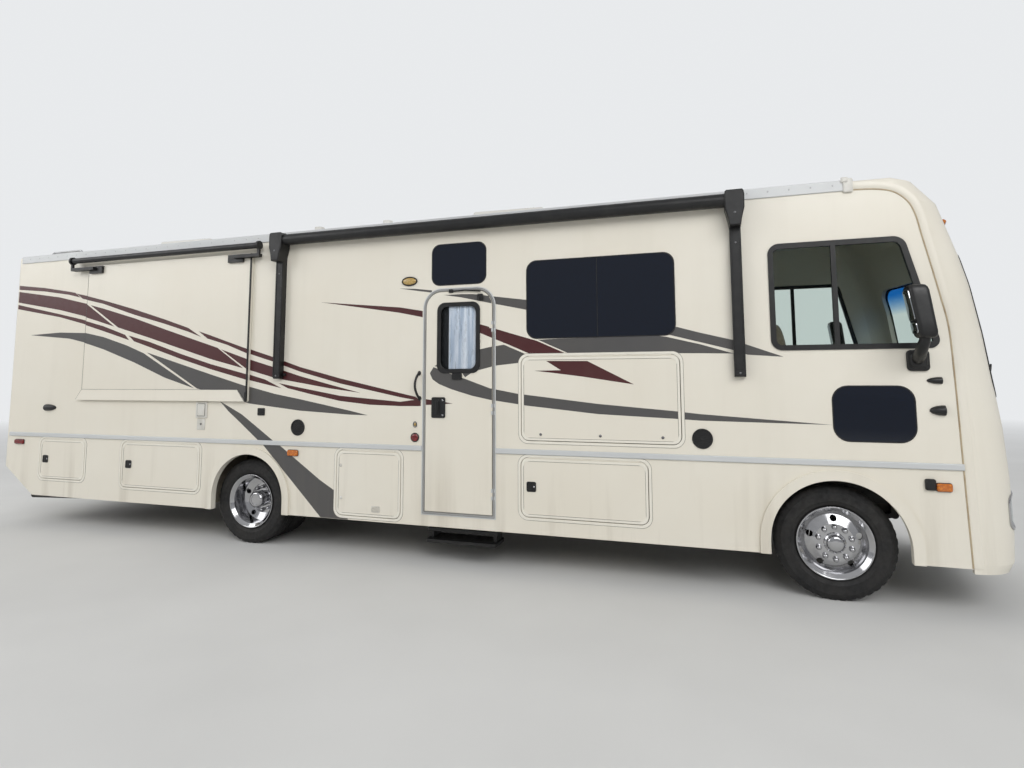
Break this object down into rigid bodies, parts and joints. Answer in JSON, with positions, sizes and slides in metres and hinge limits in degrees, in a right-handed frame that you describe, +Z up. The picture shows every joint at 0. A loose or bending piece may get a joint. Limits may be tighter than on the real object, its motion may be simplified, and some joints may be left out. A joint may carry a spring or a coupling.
{
  "type": "motorhome",
  "caption": "Large box-bodied motorhome with bowed front cap, steered front wheels, twin rear wheels, slide-out rooms, entry door, storage doors and rolled awning.",
  "frame": {"origin": "middle of the vehicle's box in length and width, on the ground below it", "axes": "+X forward, +Y to the vehicle's left, +Z up"},
  "size_m": [11.19, 3.25, 3.762],
  "materials": {
    "body_paint": "gloss",
    "roof_skin": "matte",
    "dark_glass": "gloss",
    "clear_glass": "gloss",
    "black_trim": "satin",
    "lamp_lens": "gloss",
    "headlamp_lens": "gloss",
    "chassis_steel": "satin",
    "engine_iron": "matte",
    "chrome": "polished",
    "tyre_rubber": "matte",
    "ladder_metal": "satin",
    "interior_panel": "matte",
    "seat_fabric": "satin"
  },
  "bodies": {
    "body": {"chassis_frame": "chassis_steel", "engine_block": "engine_iron", "front_axle": "chassis_steel", "rear_axle": "chassis_steel", "propshaft": "chassis_steel", "exhaust": "chassis_steel", "fuel_tank": "chassis_steel", "floor": "interior_panel", "storage_bays": "interior_panel", "right_wall": "body_paint", "left_wall": "body_paint", "right_skirt": "body_paint", "left_skirt": "body_paint", "rear_cap": "body_paint", "roof": "roof_skin", "front_cap_upper": "body_paint", "front_cap_lower": "body_paint", "windshield": "clear_glass", "window_glass": "dark_glass", "window_frames": "black_trim", "mouldings": "body_paint", "arch_flares": "body_paint", "grille": "black_trim", "headlamps": "headlamp_lens", "lamps": "lamp_lens", "mirrors": "black_trim", "awning": "black_trim", "roof_units": "roof_skin", "ladder": "ladder_metal", "entry_step": "black_trim", "cab_seats": "seat_fabric", "dashboard": "interior_panel"},
    "entry_door": {"entry_door": "body_paint", "entry_door_window": "dark_glass"},
    "bedroom_slide": {"bedroom_slide": "body_paint", "slide_topper": "black_trim"},
    "galley_slide": {"galley_slide": "body_paint", "galley_slide_window": "dark_glass"},
    "hood": {"hood": "body_paint"},
    "compartment_door": {"compartment_door": "body_paint"},
    "right_storage_door_1": {"right_storage_door_1": "body_paint"},
    "right_storage_door_2": {"right_storage_door_2": "body_paint"},
    "right_storage_door_3": {"right_storage_door_3": "body_paint"},
    "right_storage_door_4": {"right_storage_door_4": "body_paint"},
    "left_storage_door_1": {"left_storage_door_1": "body_paint"},
    "left_storage_door_2": {"left_storage_door_2": "body_paint"},
    "left_storage_door_3": {"left_storage_door_3": "body_paint"},
    "right_knuckle": {"right_knuckle": "chassis_steel"},
    "left_knuckle": {"left_knuckle": "chassis_steel"},
    "front_right_wheel": {"front_right_rim": "chrome", "front_right_tyre": "tyre_rubber"},
    "front_left_wheel": {"front_left_rim": "chrome", "front_left_tyre": "tyre_rubber"},
    "rear_right_wheel": {"rear_right_rims": "chrome", "rear_right_tyres": "tyre_rubber"},
    "rear_left_wheel": {"rear_left_rims": "chrome", "rear_left_tyres": "tyre_rubber"}
  },
  "joints": [
    {"name": "right_storage_door_1_hinge", "type": "hinge", "parent": "body", "child": "right_storage_door_1", "pos_m": [-4.45, -1.275, 1.06], "axis": [-1, 0, 0], "range_deg": [0, 85]},
    {"name": "right_storage_door_2_hinge", "type": "hinge", "parent": "body", "child": "right_storage_door_2", "pos_m": [-2.875, -1.275, 1.06], "axis": [-1, 0, 0], "range_deg": [0, 85]},
    {"name": "right_storage_door_3_hinge", "type": "hinge", "parent": "body", "child": "right_storage_door_3", "pos_m": [-0.11, -1.275, 1.06], "axis": [-1, 0, 0], "range_deg": [0, 85]},
    {"name": "right_storage_door_4_hinge", "type": "hinge", "parent": "body", "child": "right_storage_door_4", "pos_m": [2.107, -1.275, 1.055], "axis": [-1, 0, 0], "range_deg": [0, 85]},
    {"name": "left_storage_door_1_hinge", "type": "hinge", "parent": "body", "child": "left_storage_door_1", "pos_m": [-4.45, 1.275, 1.06], "axis": [1, 0, 0], "range_deg": [0, 85]},
    {"name": "left_storage_door_2_hinge", "type": "hinge", "parent": "body", "child": "left_storage_door_2", "pos_m": [-2.875, 1.275, 1.06], "axis": [1, 0, 0], "range_deg": [0, 85]},
    {"name": "left_storage_door_3_hinge", "type": "hinge", "parent": "body", "child": "left_storage_door_3", "pos_m": [0.685, 1.275, 1.06], "axis": [1, 0, 0], "range_deg": [0, 85]},
    {"name": "compartment_door_hinge", "type": "hinge", "parent": "body", "child": "compartment_door", "pos_m": [2.2565, -1.275, 2], "axis": [-1, 0, 0], "range_deg": [0, 85]},
    {"name": "entry_door_hinge", "type": "hinge", "parent": "body", "child": "entry_door", "pos_m": [1.237, -1.29, 1.5], "axis": [0, 0, 1], "range_deg": [0, 90]},
    {"name": "hood_hinge", "type": "hinge", "parent": "body", "child": "hood", "pos_m": [5.5745, 0, 1.369], "axis": [0, -1, 0], "range_deg": [0, 60]},
    {"name": "bedroom_slide_travel", "type": "slide", "parent": "body", "child": "bedroom_slide", "axis": [0, -1, 0], "range_m": [0, 0.6]},
    {"name": "galley_slide_travel", "type": "slide", "parent": "body", "child": "galley_slide", "axis": [0, 1, 0], "range_m": [0, 0.75]},
    {"name": "right_steering", "type": "hinge", "parent": "body", "child": "right_knuckle", "pos_m": [4.155, -0.93, 0.455], "axis": [0, 0, 1], "range_deg": [-35, 35]},
    {"name": "front_right_roll", "type": "hinge", "parent": "right_knuckle", "child": "front_right_wheel", "pos_m": [4.155, -1.07, 0.455], "axis": [0, 1, 0], "continuous": true},
    {"name": "rear_right_roll", "type": "hinge", "parent": "body", "child": "rear_right_wheel", "pos_m": [-1.636, -1.078, 0.455], "axis": [0, 1, 0], "continuous": true},
    {"name": "left_steering", "type": "hinge", "parent": "body", "child": "left_knuckle", "pos_m": [4.155, 0.93, 0.455], "axis": [0, 0, 1], "range_deg": [-35, 35]},
    {"name": "front_left_roll", "type": "hinge", "parent": "left_knuckle", "child": "front_left_wheel", "pos_m": [4.155, 1.07, 0.455], "axis": [0, 1, 0], "continuous": true},
    {"name": "rear_left_roll", "type": "hinge", "parent": "body", "child": "rear_left_wheel", "pos_m": [-1.636, 1.078, 0.455], "axis": [0, 1, 0], "continuous": true}
  ],
  "couplings": [
    {"joint": "left_steering", "follows": "right_steering", "ratio": 1}
  ]
}
